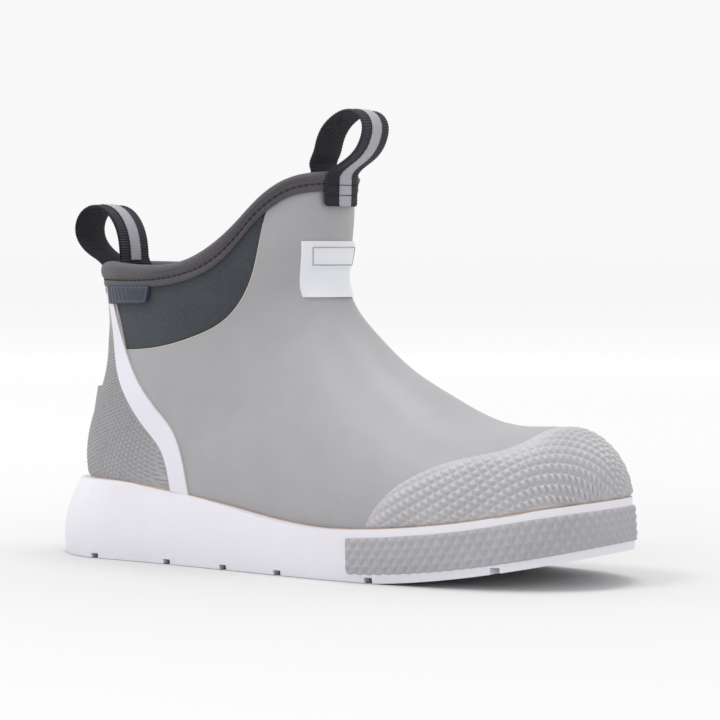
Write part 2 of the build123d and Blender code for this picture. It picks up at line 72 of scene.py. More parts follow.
SOLE_OUTLINE = [
    ((HEEL_X, 0), (HEEL_X, -22), (-128, -38.5), (-105, -38.5)),
    ((-105, -38.5), (-50, -38.5), (0, -51), (42, -51)),
    ((42, -51), (98, -51), (TOE_X, -40), (TOE_X, 2)),
    ((TOE_X, 2), (TOE_X, 38), (106, 51.2), (62, 51.2)),
    ((62, 51.2), (30, 51.2), (5, 35.7), (-35, 35.7)),
    ((-35, 35.7), (-58, 35.7), (-82, 38.2), (-105, 38.2)),
    ((-105, 38.2), (-128, 38.2), (HEEL_X, 22), (HEEL_X, 0)),
]
SOLE_LEVELS = [
    # height, then how far the wall lies inside the outline at the heel, toe, heel's side and toe's side
    (-4.0, 3.0, 3.0, 1.5, 2.0),
    (12.0, 0.0, 0.0, 0.0, 0.0),
    (26.0, 3.4, 0.2, 2.4, 0.3),
    (44.0, 14.0, 1.6, 9.5, 1.2),
]
LASTING_LINE = [(-160, 17), (-100, 17), (-60, 16), (-20, 13.5), (20, 12), (50, 12), (75, 14), (100, 17.5),
                (125, 22.5), (160, 31)]
MIDSOLE_TOP = [(-160, 35.5), (-128, 35.5), (-99, 35.8), (-65, 33), (-27, 27.6), (4, 23), (24, 21.8),
               (46, 22.6), (70, 24.8), (98, 28.6), (123, 33.4), (145, 36.8), (160, 38.5)]
COLLAR_TOP = [(-150, 135.5), (-100, 135), (-75, 134), (-58, 136.3), (-43, 143.2), (-30, 153.5),
              (-15, 168.5), (-6, 174), (6, 176.5), (30, 177)]
BINDING_EDGE = [(-150, 125.5), (-108, 125.2), (-82, 125.2), (-58, 128), (-41.5, 134.4), (-31.5, 142.3),
                (-22.5, 152.3), (-13, 161.5), (-5, 166.5), (6, 168.6), (30, 169)]
STRIPE_REAR = [(-110, 128), (-106, 99.5), (-103, 89.5), (-92, 73.5), (-80, 60.5), (-71, 51.5), (-66, 39),
               (-64, 28)]
STRIPE_FRONT = [(-105.5, 128), (-95.4, 96), (-84, 80), (-74, 69.5), (-65, 60.5), (-59, 49), (-56, 39.5),
                (-53.5, 28)]
GUSSET_EDGE = [(-95.4, 96), (-75, 97.7), (-54, 103), (-39, 110.5), (-29.7, 120.7), (-23.4, 132.7),
               (-19, 148), (-16, 160), (-11, 176)]
TOE_CAP_EDGE = [(43, 18), (49, 29), (57, 38.5), (68, 46.5), (84, 53.5), (102, 58), (112, 63), (117, 72)]
FRONT_LOOP = [(-5.8, 180.2), (-4.3, 185), (-2.6, 190.5), (0.2, 196.3), (5.5, 201.2), (12.5, 203.8),
              (18, 202.2), (20.6, 198), (20.2, 192.5), (17.8, 187.3), (13.4, 182.8), (9.4, 180)]
REAR_LOOP = [(-113.9, 139), (-114.4, 145), (-115.8, 151), (-118.6, 156.5), (-123, 160.8), (-129, 162.6),
             (-135, 160.5), (-138.6, 155.5), (-138.9, 149.5), (-135.6, 143.8), (-130.5, 139.8), (-126, 137)]
FOOT_FACE = -5.8
FOOT_FLOOR = 14.1
TOE_PITCH_ALONG, TOE_PITCH_ACROSS = 5.6, 5.0
HEEL_PITCH_UP, HEEL_PITCH_ROUND = 3.6, 3.3
BUMPER_PITCH, BUMPER_ROWS, BUMPER_MARGIN, BUMPER_REAR = 4.7, 4.5, 3.4, 39.0


def spline(points, count):
    """A natural cubic spline through points (any dimension), sampled evenly in chord length."""
    pts = np.asarray(points, float)
    steps = np.linalg.norm(np.diff(pts.reshape(len(pts), -1), axis=0), axis=1)
    knots = np.r_[0, np.cumsum(steps)]
    return spline_at(pts, knots, np.linspace(0, knots[-1], count))


def spline_at(pts, knots, at):
    """The same spline at given knot values."""
    n = len(knots)
    flat = pts.reshape(n, -1)
    gap = np.diff(knots)
    system = np.eye(n)
    right = np.zeros_like(flat)
    for i in range(1, n - 1):
        system[i, i - 1:i + 2] = gap[i - 1], 2 * (gap[i - 1] + gap[i]), gap[i]
        right[i] = 6 * ((flat[i + 1] - flat[i]) / gap[i] - (flat[i] - flat[i - 1]) / gap[i - 1])
    second = np.linalg.solve(system, right)
    at = np.asarray(at, float)
    k = np.clip(np.searchsorted(knots, at, side="right") - 1, 0, n - 2)
    h = gap[k][:, None]
    a = (knots[k + 1] - at)[:, None] / h
    b = 1 - a
    bend = (a ** 3 - a) * second[k] + (b ** 3 - b) * second[k + 1]
    found = a * flat[k] + b * flat[k + 1] + bend * h * h / 6
    return found.reshape((len(at),) + pts.shape[1:])


def height_of(line):
    """z as a function of x along a side-view line."""
    dense = spline(line, 600)
    return lambda x: np.interp(x, dense[:, 0], dense[:, 1])


def reach_of(line):
    """x as a function of z along a side-view line."""
    dense = spline(line, 600)
    order = np.argsort(dense[:, 1])
    return lambda z: np.interp(z, dense[order, 1], dense[order, 0])


lasting, midsole_top = height_of(LASTING_LINE), height_of(MIDSOLE_TOP)
collar_top, binding_edge = height_of(COLLAR_TOP), height_of(BINDING_EDGE)
stripe_rear, gusset_edge, toe_cap_edge = (reach_of(x) for x in (STRIPE_REAR, GUSSET_EDGE, TOE_CAP_EDGE))


def controls(grow):
    """Bezier control points of every section: stations x 4 quarters x 4 points x 3."""
    out = []
    for bottom, top, outer, inner, widest, low_sq, high_sq, lead in STATIONS:
        height = math.hypot(top[0] - bottom[0], top[1] - bottom[1])
        ux, uz = (top[0] - bottom[0]) / height, (top[1] - bottom[1]) / height
        middle, low, high = widest * height, -grow, height + grow
        rows = []
        for side, end, square, rising in (
            (-inner - grow, low, low_sq, True),
            (-inner - grow, high, high_sq, False),
            (outer + grow, high, high_sq, True),
            (outer + grow, low, low_sq, False),
        ):
            k = (8 * 2 ** (-1 / square) - 4) / 3
            flat = [(0, end), (k * side, end), (side, middle + k * (end - middle)), (side, middle)]
            flat = flat if rising else flat[::-1]
            rows.append([(bottom[0] + lead * grow + ux * b, -a, bottom[1] + uz * b) for a, b in flat])
        out.append(rows)
    return np.array(out)


def sheet_points(t, v, grow=0.0):
    """Points of the upper's surface, grown by grow.

    t counts stations from the toe, and t below 0 closes the nose. v runs 0..4 round a section:
    0 below or behind, 1 inner side, 2 top or front, 3 outer side.
    """
    base = controls(0.0)
    steps = np.linalg.norm(np.diff(base.reshape(len(base), -1), axis=0), axis=1)
    knots = np.r_[0, np.cumsum(steps)]
    t = np.asarray(t, float)
    tc = np.clip(t, 0, len(STATIONS) - 1)
    at = np.interp(tc, np.arange(len(STATIONS)), knots)
    net = spline_at(controls(grow), knots, at)
    v = np.mod(np.asarray(v, float), 4.0)
    quarter = np.minimum(v.astype(int), 3)
    s = v - quarter
    weights = np.stack([(1 - s) ** 3, 3 * s * (1 - s) ** 2, 3 * s * s * (1 - s), s ** 3], 1)
    points = np.einsum("nvkd,vk->nvd", net[:, quarter], weights)
    nose = t < 0
    if nose.any():
        share = (1 + t[nose])[:, None, None]
        centre = net[nose].mean(axis=(1, 2))[:, None, :]
        points[nose] = centre + (points[nose] - centre) * share
        points[nose, :, 0] += 1.2 * (1 - share[:, :, 0] ** 2)
    return points


def normals_of(points):
    """Outward normals of a grid of surface points."""
    du = np.gradient(points, axis=0)
    dv = np.gradient(points, axis=1)
    normal = np.cross(du, dv)
    return normal / (np.linalg.norm(normal, axis=2, keepdims=True) + 1e-9)


def runs(points, middle):
    """Arc length along each row direction of a grid: down the rows, and sideways from column middle."""
    down = np.linalg.norm(np.diff(points, axis=0), axis=2)
    sideways = np.linalg.norm(np.diff(points, axis=1), axis=2)
    along = np.concatenate([np.zeros((1, points.shape[1])), np.cumsum(down, axis=0)], axis=0)
    across = np.concatenate([np.zeros((len(points), 1)), np.cumsum(sideways, axis=1)], axis=1)
    return along, across - across[:, middle:middle + 1]


def smooth(x, a, b):
    """0 at a and 1 at b, eased."""
    s = np.clip((x - a) / (b - a), 0, 1)
    return s * s * (3 - 2 * s)


# ------------------------------------------------------------------ materials

def material(name, colour, rough, build=None, metallic=0.0, vary=0.06, sheen=0.0, specular=0.4):
    """A procedural material: base colour and roughness varied by noise, plus what build adds."""
    m = bpy.data.materials.new(name)
    m.use_nodes = True
    nt = m.node_tree
    bsdf = nt.nodes["Principled BSDF"]
    coords = nt.nodes.new("ShaderNodeTexCoord")
    bsdf.inputs["Metallic"].default_value = metallic
    bsdf.inputs["Specular IOR Level"].default_value = specular
    bsdf.inputs["Sheen Weight"].default_value = sheen
    big = nt.nodes.new("ShaderNodeTexNoise")
    big.inputs["Scale"].default_value = 60.0
    big.inputs["Detail"].default_value = 6.0
    nt.links.new(coords.outputs["Object"], big.inputs["Vector"])
    ramp = nt.nodes.new("ShaderNodeValToRGB")
    ramp.color_ramp.elements[0].position = 0.3
    ramp.color_ramp.elements[1].position = 0.72
    ramp.color_ramp.elements[0].color = [c * (1 - vary) for c in colour] + [1]
    ramp.color_ramp.elements[1].color = [min(1, c * (1 + vary)) for c in colour] + [1]
    nt.links.new(big.outputs["Fac"], ramp.inputs["Fac"])
    shine = nt.nodes.new("ShaderNodeMapRange")
    shine.inputs["To Min"].default_value = max(0.05, rough - 0.07)
    shine.inputs["To Max"].default_value = min(1.0, rough + 0.07)
    nt.links.new(big.outputs["Fac"], shine.inputs["Value"])
    nt.links.new(shine.outputs["Result"], bsdf.inputs["Roughness"])
    out = {"nt": nt, "bsdf": bsdf, "coords": coords, "colour": ramp.outputs["Color"], "normal": None}
    if build:
        build(out)
    nt.links.new(out["colour"], bsdf.inputs["Base Color"])
    if out["normal"]:
        nt.links.new(out["normal"], bsdf.inputs["Normal"])
    return m


def bump(out, socket, strength, distance):
    """Adds one layer of bump from a height socket."""
    node = out["nt"].nodes.new("ShaderNodeBump")
    node.inputs["Strength"].default_value = strength
    node.inputs["Distance"].default_value = distance
    out["nt"].links.new(socket, node.inputs["Height"])
    if out["normal"]:
        out["nt"].links.new(out["normal"], node.inputs["Normal"])
    out["normal"] = node.outputs["Normal"]


def noise(out, scale, detail=4.0, rough=0.5):
    """Noise in the object's own measure, scale to the metre."""
    node = out["nt"].nodes.new("ShaderNodeTexNoise")
    node.inputs["Scale"].default_value = scale
    node.inputs["Detail"].default_value = detail
    node.inputs["Roughness"].default_value = rough
    out["nt"].links.new(out["coords"].outputs["Object"], node.inputs["Vector"])
    return node.outputs["Fac"]


def waves(out, scale, turn=(0, 0, 0), source="UV"):
    """Straight even ridges, scale to the metre, across the turned X axis."""
    mapping = out["nt"].nodes.new("ShaderNodeMapping")
    mapping.inputs["Rotation"].default_value = turn
    out["nt"].links.new(out["coords"].outputs[source], mapping.inputs["Vector"])
    node = out["nt"].nodes.new("ShaderNodeTexWave")
    node.inputs["Scale"].default_value = scale * math.pi / 10.0
    node.inputs["Distortion"].default_value = 0.0
    out["nt"].links.new(mapping.outputs["Vector"], node.inputs["Vector"])
    return node.outputs["Fac"]


def maths(out, operation, a, b):
    """One sum on two sockets or numbers."""
    node = out["nt"].nodes.new("ShaderNodeMath")
    node.operation = operation
    for socket, value in zip(node.inputs, (a, b)):
        if isinstance(value, (int, float)):
            socket.default_value = value
        else:
            out["nt"].links.new(value, socket)
    return node.outputs["Value"]


def tint(out, fac, colour, amount):
    """Mixes a colour in where fac is high."""
    node = out["nt"].nodes.new("ShaderNodeMix")
    node.data_type = "RGBA"
    node.inputs[7].default_value = list(colour) + [1]
    out["nt"].links.new(maths(out, "MULTIPLY", fac, amount), node.inputs[0])
    out["nt"].links.new(out["colour"], node.inputs[6])
    out["colour"] = node.outputs[2]


def rubber_grain(out):
    """Matt rubber: fine grain, soft unevenness and faint soiling."""
    bump(out, noise(out, 2600, 3), 0.35, 0.00008)
    bump(out, noise(out, 420, 4), 0.12, 0.0003)
    tint(out, smudge(out, 26), (0.30, 0.28, 0.26), 0.10)


def smudge(out, scale):
    """Faint uneven soiling."""
    fac = noise(out, scale, 7, 0.65)
    return maths(out, "MULTIPLY", maths(out, "MAXIMUM", maths(out, "SUBTRACT", fac, 0.52), 0.0), 4.0)


def knit(pitch):
    """Columns of small stitches, from two crossed wave patterns in the piece's own surface measure, with
    painted shade in the hollows between the stitches.
    """
    def build(out):
        ribs = waves(out, 1 / pitch)
        rows = waves(out, 1 / pitch, (0, 0, math.pi / 2))
        both = maths(out, "MULTIPLY", ribs, rows)
        bump(out, both, 0.7, pitch * 0.3)
        bump(out, noise(out, 3000, 3), 0.3, 0.0001)
        # painted shade: the colour is darkened towards near black where the stitches lie low
        painted_hollow_shade = maths(out, "SUBTRACT", 1.0, both)
        tint(out, painted_hollow_shade, (0.02, 0.02, 0.025), 0.35)
    return build


def twill(pitch, shade=0.35):
    """Threads that cross at 45 degrees, with painted shade in the hollows between them."""
    def build(out):
        a = waves(out, 1 / pitch, (0, 0, math.radians(45)))
        b = waves(out, 1 / pitch, (0, 0, math.radians(-45)))
        both = maths(out, "MAXIMUM", a, b)
        bump(out, both, 0.6, pitch * 0.25)
        bump(out, noise(out, 4000, 2), 0.25, 0.00006)
        # painted shade: the colour is darkened in the hollows between the threads, by the amount shade
        tint(out, maths(out, "SUBTRACT", 1.0, both), (0.01, 0.01, 0.012), shade)
    return build


def ribbed(pitch, shade=0.5):
    """Woven ribs across the piece, with finer threads along it, and painted shade in the grooves between
    them.
    """
    def build(out):
        across = waves(out, 1 / pitch)
        threads = waves(out, 1 / (pitch * 0.55), (0, 0, math.pi / 2))
        ribs, fine = maths(out, "MULTIPLY", across, 0.75), maths(out, "MULTIPLY", threads, 0.25)
        both = maths(out, "ADD", ribs, fine)
        bump(out, both, 0.9, pitch * 0.4)
        bump(out, noise(out, 5000, 2), 0.3, 0.00006)
        # painted shade: the colour is darkened in the grooves between the ribs, by the amount shade
        tint(out, maths(out, "SUBTRACT", 1.0, both), (0.005, 0.006, 0.008), shade)
    return build


def pebbles(out):
    """A pebbled stretch fabric, with painted shade darkening its hollows."""
    fine = noise(out, 1100, 3, 0.75)
    bump(out, fine, 1.0, 0.0012)
    # painted shade: the colour is darkened where the pebble relief lies low
    tint(out, maths(out, "SUBTRACT", 1.0, fine), (0.015, 0.02, 0.026), 0.75)


def sole_marks(out):
    """Moulded rubber with faint marks of wear."""
    bump(out, noise(out, 1800, 3), 0.25, 0.00006)
    tint(out, smudge(out, 30), (0.45, 0.42, 0.38), 0.16)


def emboss(out):
    """A fine slanting emboss low on the rear of the sole wall, fading forward."""
    sole_marks(out)
    lines = waves(out, 1 / 0.0026, (0, math.radians(38), 0), "Object")
    place = out["nt"].nodes.new("ShaderNodeSeparateXYZ")
    out["nt"].links.new(out["coords"].outputs["Object"], place.inputs["Vector"])
    fade = out["nt"].nodes.new("ShaderNodeMapRange")
    fade.inputs["From Min"].default_value = -0.045
    fade.inputs["From Max"].default_value = -0.085
    out["nt"].links.new(place.outputs["X"], fade.inputs["Value"])
    bump(out, maths(out, "MULTIPLY", lines, fade.outputs["Result"]), 0.22, 0.0003)


def speckle(out):
    """Foam or a plain matt floor: fine grain and small cells."""
    bump(out, noise(out, 3500, 2), 0.5, 0.0001)
    cell = out["nt"].nodes.new("ShaderNodeTexVoronoi")
    cell.inputs["Scale"].default_value = 2600
    out["nt"].links.new(out["coords"].outputs["Object"], cell.inputs["Vector"])
    bump(out, cell.outputs["Distance"], 0.3, 0.0001)


M = {
    "shell": material("UpperRubber", (0.365, 0.36, 0.372), 0.46, rubber_grain, vary=0.035),
    "toe": material("ToeRubber", (0.47, 0.46, 0.475), 0.42, rubber_grain, vary=0.05),
    "heel": material("HeelRubber", (0.355, 0.35, 0.365), 0.44, rubber_grain, vary=0.05),
    "bumper": material("BumperRubber", (0.40, 0.39, 0.412), 0.42, rubber_grain, vary=0.06),
    "white": material("WhiteRubber", (0.74, 0.72, 0.79), 0.48, sole_marks, vary=0.02),
    "midsole": material("MidsoleRubber", (0.76, 0.74, 0.80), 0.48, emboss, vary=0.02),
    "tread": material("TreadRubber", (0.74, 0.73, 0.77), 0.6, sole_marks, vary=0.03),
    "badge": material("BadgeRubber", (0.77, 0.78, 0.82), 0.45, sole_marks, vary=0.02),
    "binding": material("KnitBinding", (0.105, 0.094, 0.108), 0.85, knit(0.0011), vary=0.12, sheen=0.25),
    "gusset": material("StretchFabric", (0.085, 0.097, 0.112), 0.8, pebbles, vary=0.12, sheen=0.08),
    "lining": material("LiningKnit", (0.03, 0.032, 0.038), 0.95, knit(0.0016), vary=0.12, sheen=0.3),
    "footbed": material("FootbedKnit", (0.028, 0.032, 0.04), 0.9, twill(0.0012), vary=0.12, sheen=0.3),
    "webbing": material("Webbing", (0.020, 0.021, 0.034), 0.72, ribbed(0.0012), vary=0.15, sheen=0.05),
    "tape": material("ReflectiveTape", (0.40, 0.395, 0.44), 0.34, twill(0.0009, 0.18), metallic=0.25,
                     vary=0.05),
    "label": material("WovenLabel", (0.014, 0.024, 0.050), 0.75, ribbed(0.0007, 0.4), vary=0.1, sheen=0.3),
    "border": material("WovenBorder", (0.10, 0.13, 0.20), 0.75, ribbed(0.0007, 0.3), vary=0.1),
    "thread": material("Thread", (0.025, 0.024, 0.03), 0.7, twill(0.0005, 0.3), vary=0.2),
    "pale_thread": material("PaleThread", (0.42, 0.42, 0.44), 0.65, twill(0.0005, 0.3), vary=0.2),
    "cement": material("CementLine", (0.50, 0.36, 0.26), 0.6, sole_marks, vary=0.15),
    "seam": material("SeamEdge", (0.60, 0.54, 0.47), 0.6, sole_marks, vary=0.1),
    "grey_line": material("GreyLine", (0.40, 0.40, 0.42), 0.6, sole_marks, vary=0.1),
    "hidden": material("InnerFoam", (0.04, 0.04, 0.045), 0.9, speckle, vary=0.1),
}
for kind, nodes in {
    "shell": ["rubber_shell"],
    "white": ["heel_stripe_lateral", "heel_stripe_medial"],
    "midsole": ["midsole"],
    "tread": ["outsole"],
    "badge": ["front_badge", "badge_panel"],
    "heel": ["kick_tab"],
    "hidden": ["footbed", "insole_board", "shank", "heel_stiffener", "toe_puff"],
}.items():
    for node in nodes:
        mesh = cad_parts[node].data
        for index in range(len(mesh.materials)):
            mesh.materials[index] = M[kind]


# ------------------------------------------------------------------ mesh makers

def quads_of(index):
    """The four corners of every cell in a grid of vertex numbers."""
    corners = [index[:-1, :-1], index[1:, :-1], index[1:, 1:], index[:-1, 1:]]
    return np.stack(corners, axis=2).reshape(-1, 4)


def grid_object(name, points, mat, body="boot", uv=None, wrap=False, keep=None, flip=False):
    """A smooth mesh from a grid of points in millimetres, with its surface measure as UVs in metres."""
    rows, cols = points.shape[:2]
    index = np.arange(rows * cols).reshape(rows, cols)
    if wrap:
        index = np.concatenate([index, index[:, :1]], axis=1)
    quads = quads_of(index)
    if keep is not None:
        flat = keep.reshape(-1)
        quads = quads[flat[quads].any(axis=1)]
    if flip:
        quads = quads[:, ::-1]
    used = np.unique(quads)
    lookup = np.zeros(rows * cols, int)
    lookup[used] = np.arange(len(used))
    mesh = bpy.data.meshes.new(name)
    co = points.reshape(-1, 3)[used] * MM
    mesh.vertices.add(len(co))
    mesh.vertices.foreach_set("co", co.astype(np.float32).ravel())
    faces = lookup[quads]
    mesh.loops.add(faces.size)
    mesh.loops.foreach_set("vertex_index", faces.ravel().astype(np.int32))
    mesh.polygons.add(len(faces))
    mesh.polygons.foreach_set("loop_start", np.arange(0, faces.size, 4, dtype=np.int32))
    mesh.polygons.foreach_set("loop_total", np.full(len(faces), 4, np.int32))
    if uv is not None:
        layer = mesh.uv_layers.new(name="Measure")
        flat_uv = np.stack([uv[0], uv[1]], axis=2).reshape(-1, 2)[used] * MM
        layer.data.foreach_set("uv", flat_uv[faces.ravel()].astype(np.float32).ravel())
    mesh.update(calc_edges=True)
    mesh.validate()
    mesh.shade_smooth()
    mesh.materials.append(mat)
    obj = bpy.data.objects.new(name, mesh)
    bpy.context.scene.collection.objects.link(obj)
    if body:
        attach(obj, body)
    return obj


def bvh_of(points):
    """A search tree of a grid of points, in millimetres."""
    rows, cols = points.shape[:2]
    index = np.arange(rows * cols).reshape(rows, cols)
    quads = quads_of(index)
    return BVHTree.FromPolygons(points.reshape(-1, 3).tolist(), quads.tolist())


search_trees = {}


def upper_bvh(grow):
    """A search tree of the upper's surface, grown by grow, made once for each growth."""
    if grow not in search_trees:
        search_trees[grow] = bvh_of(sheet_points(np.linspace(-0.9, 15, 260), np.linspace(0, 4, 241), grow))
    return search_trees[grow]


def cast(tree, start, direction):
    """The point hit from start along direction and the normal there, or None twice."""
    hit = tree.ray_cast(Vector(start), Vector(direction))
    return (np.array(hit[0]), np.array(hit[1])) if hit[0] is not None else (None, None)


def capsules(name, ends, radius, mat, body="boot", sides=6):
    """Short round threads or dots between pairs of points, in one mesh."""
    verts, faces = [], []
    for a, b, up in ends:
        a, b = np.asarray(a, float), np.asarray(b, float)
        along = b - a
        length = np.linalg.norm(along) + 1e-9
        along /= length
        side = np.cross(along, up)
        side /= np.linalg.norm(side) + 1e-9
        over = np.cross(side, along)
        first = len(verts)
        profile = ((0.0, 0.25), (0.12, 0.75), (0.35, 1.0), (0.65, 1.0), (0.88, 0.75), (1.0, 0.25))
        for s, r in profile:
            for k in range(sides):
                angle = 2 * math.pi * k / sides
                offset = (side * math.cos(angle) + over * math.sin(angle)) * radius * r
                verts.append(a + along * length * s + offset)
        for i in range(len(profile) - 1):
            for k in range(sides):
                n = (k + 1) % sides
                ring_a, ring_b = first + i * sides, first + (i + 1) * sides
                faces.append((ring_a + k, ring_a + n, ring_b + n, ring_b + k))
        faces.append(tuple(first + k for k in range(sides))[::-1])
        faces.append(tuple(first + (len(profile) - 1) * sides + k for k in range(sides)))
    mesh = bpy.data.meshes.new(name)
    mesh.from_pydata([tuple(v * MM) for v in verts], [], faces)
    mesh.uv_layers.new(name="Measure")
    mesh.shade_smooth()
    mesh.materials.append(mat)
    obj = bpy.data.objects.new(name, mesh)
    bpy.context.scene.collection.objects.link(obj)
    if body:
        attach(obj, body)
    return obj


def pyramid(a, b, flat=0.12):
    """Height 0..1 of square pyramids on a unit lattice."""
    fa = np.abs(2 * (a - np.floor(a)) - 1)
    fb = np.abs(2 * (b - np.floor(b)) - 1)
    return np.clip((1 - np.maximum(fa, fb)) / (1 - flat), 0, 1)


# ------------------------------------------------------------------ toe cap

t = np.linspace(-0.985, 6.35, 560)
v = np.linspace(0.72, 3.28, 620)
base = sheet_points(t, v)
normal = normals_of(base)
mid = len(v) // 2
along, across = runs(base, mid)
x, z = base[..., 0], base[..., 2]
inside = x - toe_cap_edge(z)
slope = toe_cap_edge(z + 0.5) - toe_cap_edge(z - 0.5)
inside = inside / np.sqrt(1 + slope ** 2)
low_edge = z - midsole_top(x)
p = along / TOE_PITCH_ALONG
q = across / TOE_PITCH_ACROSS
relief = pyramid(p + q, p - q + 0.5, 0.2)
relief = 0.55 * relief + 0.45 * smooth(relief, 0.0, 0.9)
fade = smooth(inside, -0.5, 9.0)
low_fade = smooth(low_edge, -0.6, 1.4)
height = 0.10 + 1.35 * relief * fade ** 0.8 * smooth(low_edge, 0.2, 2.6)
height = height - 0.5 * (1 - smooth(inside, -1.0, 1.5))
height = height - 0.25 * (1 - low_fade)
toe = grid_object("toe_cap_pyramids", base + normal * height[..., None], M["toe"],
                  keep=(inside > -1.5) & (low_edge > -3.0), uv=(along, across), flip=True)
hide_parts("toe_cap")

# ------------------------------------------------------------------ heel cover

t = np.linspace(8.6, 14.6, 620)
v = np.linspace(-1.25, 1.25, 520)
base = sheet_points(t, v)
normal = normals_of(base)
along, across = runs(base, len(v) // 2)
x, z = base[..., 0], base[..., 2]
inside = stripe_rear(z) - x
slope = stripe_rear(z + 0.5) - stripe_rear(z - 0.5)
inside = inside / np.sqrt(1 + slope ** 2)
low_edge = z - midsole_top(x)
side = np.abs(across)
p = (z - 0.25 * side) / HEEL_PITCH_UP
q = side / HEEL_PITCH_ROUND
dome = pyramid(q + p, p - q, 0.15)
dome = 0.5 * dome + 0.5 * smooth(dome, 0.0, 0.9)
strength = 1.0 - 0.75 * smooth(z, 98, 112)
height = 0.25 + 1.05 * dome * strength * smooth(low_edge, 0.2, 2.4)
height = height * smooth(inside, -0.1, 0.7) - 0.5 * (1 - smooth(inside, -0.9, 0.2))
height = height - 0.2 * (1 - smooth(low_edge, -0.6, 1.0))
heel = grid_object("heel_cover_scales", base + normal * height[..., None], M["heel"],
                   keep=(inside > -1.0) & (low_edge > -3.0) & (z < binding_edge(x) + 2.5),
                   uv=(along, across), flip=True)
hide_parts("heel_counter_cover")

# ------------------------------------------------------------------ gussets

for label, v0, v1 in (("lateral", 2.05, 3.95), ("medial", 0.05, 1.95)):
    t = np.linspace(9.8, 15.0, 420)
    v = np.linspace(v0, v1, 420)
    base = sheet_points(t, v)
    normal = normals_of(base)
    along, across = runs(base, len(v) // 2)
    x, z = base[..., 0], base[..., 2]
    inside = np.minimum(gusset_edge(z) - x, 400.0)
    lumps = np.sin(across * 2.9 + 1.3 * np.sin(along * 2.1))
    lumps = lumps * np.sin(along * 2.7 + 1.1 * np.sin(across * 1.9))
    height = -0.62 + 0.10 * lumps + 0.12 * smooth(inside, 0, 4)
    panel = grid_object("gusset_" + label, base + normal * height[..., None], M["gusset"],
                        keep=(inside > -2.0) & (z > 94) & (z < collar_top(x) - 1.0) & (x > -116),
                        uv=(along, across), flip=True)
    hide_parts("gusset_panel_" + label)

# ------------------------------------------------------------------ collar binding, lining and footbed

def level_t(v, line, grow, lift=0.0):
    """For each v, the t at which the grown surface crosses a side-view line."""
    ts = np.linspace(9.0, 15.0, 700)
    pts = sheet_points(ts, v, grow)
    gap = pts[..., 2] - line(pts[..., 0]) - lift
    over = gap > 0
    first = np.argmax(over, axis=0)
    first = np.clip(first, 1, len(ts) - 1)
    cols = np.arange(len(v))
    g0, g1 = gap[first - 1, cols], gap[first, cols]
    share = np.clip(-g0 / (g1 - g0 + 1e-9), 0, 1)
    return ts[first - 1] + share * (ts[first] - ts[first - 1])


def ring(v, line, grow, lift):
    """Points where the surface grown by grow meets a side-view line lifted by lift."""
    t_at = level_t(v, line, grow, lift)
    points = np.empty((len(v), 3))
    step = 40
    for i in range(0, len(v), step):
        block = slice(i, min(i + step, len(v)))
        grid = sheet_points(t_at[block], v[block], grow)
        points[block] = grid[np.arange(grid.shape[0]), np.arange(grid.shape[0])]
    return points


v = np.linspace(0, 4, 720, endpoint=False)
collar_profile = [
    # (line, lift above it, growth of the surface)
    (binding_edge, -0.2, 0.9), (binding_edge, 0.5, 1.25), (binding_edge, 1.6, 1.35),
    (binding_edge, 2.5, 1.15), (binding_edge, 3.1, 0.95), (binding_edge, 3.7, 1.25),
    (binding_edge, 4.6, 1.75), (binding_edge, 6.0, 2.05),
    (collar_top, -2.4, 1.95), (collar_top, -1.0, 1.5), (collar_top, 0.1, 0.6), (collar_top, 0.8, -0.6),
    (collar_top, 1.15, -2.2), (collar_top, 1.15, -3.8), (collar_top, 0.8, -5.2), (collar_top, 0.1, -6.4),
    (collar_top, -1.0, -7.2), (collar_top, -2.4, -7.6), (collar_top, -4.5, -7.5), (collar_top, -6.2, -7.0),
    (collar_top, -6.9, -6.7), (collar_top, -8.2, -6.9), (collar_top, -9.2, -6.2), (collar_top, -9.4, -5.6),
]
rings = np.array([ring(v, line, grow, lift) for line, lift, grow in collar_profile])
dense = spline_at(rings, np.arange(len(rings), dtype=float), np.linspace(0, len(rings) - 1, 96))
normal = normals_of(dense)
along, across = runs(dense, 0)
ribs = 0.09 * np.sin(across[40][None, :] * 2 * math.pi / 1.15 + 1.6 * np.sin(along * 2 * math.pi / 2.3))
binding = grid_object("collar_binding_knit", dense + normal * ribs[..., None], M["binding"],
                      uv=(along, across), wrap=True, flip=True)
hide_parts("collar_binding")


def stitch_row(name, ring_points, pitch=3.0, length=2.2):
    """A row of stitches round the collar, along a closed ring of points."""
    closed = np.r_[ring_points, ring_points[:1]]
    run = np.r_[0, np.cumsum(np.linalg.norm(np.diff(closed, axis=0), axis=1))]
    count = int(run[-1] / pitch)
    ends = []
    for s in np.arange(count) * run[-1] / count:
        a, b = ([np.interp(place, run, closed[:, k]) for k in range(3)] for place in (s, s + length))
        ends.append((a, b, (0, 0, 1)))
    capsules(name, ends, 0.33, M["thread"])


stitch_row("binding_stitches", ring(v, binding_edge, 1.15, 3.1))
stitch_row("binding_inner_stitches", ring(v, collar_top, -6.9, -7.0))

t = np.linspace(0.0, 15.0, 420)
v = np.linspace(0, 4, 300)
base = sheet_points(t, v, FOOT_FACE)
normal = normals_of(base)
along, across = runs(base, 0)
ripple = 0.10 * np.sin(across * 2 * math.pi / 2.2) * np.sin(along * 2 * math.pi / 2.2)
lined = base - normal * (0.05 + ripple[..., None])
x, z = base[..., 0], base[..., 2]
keep = (z > lasting(x) + FOOT_FLOOR - 2.0) & (z < collar_top(x) - 3.0)
lining = grid_object("mesh_lining_knit", lined, M["lining"], keep=keep, uv=(along, across))
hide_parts("mesh_lining", "neoprene_bootie")

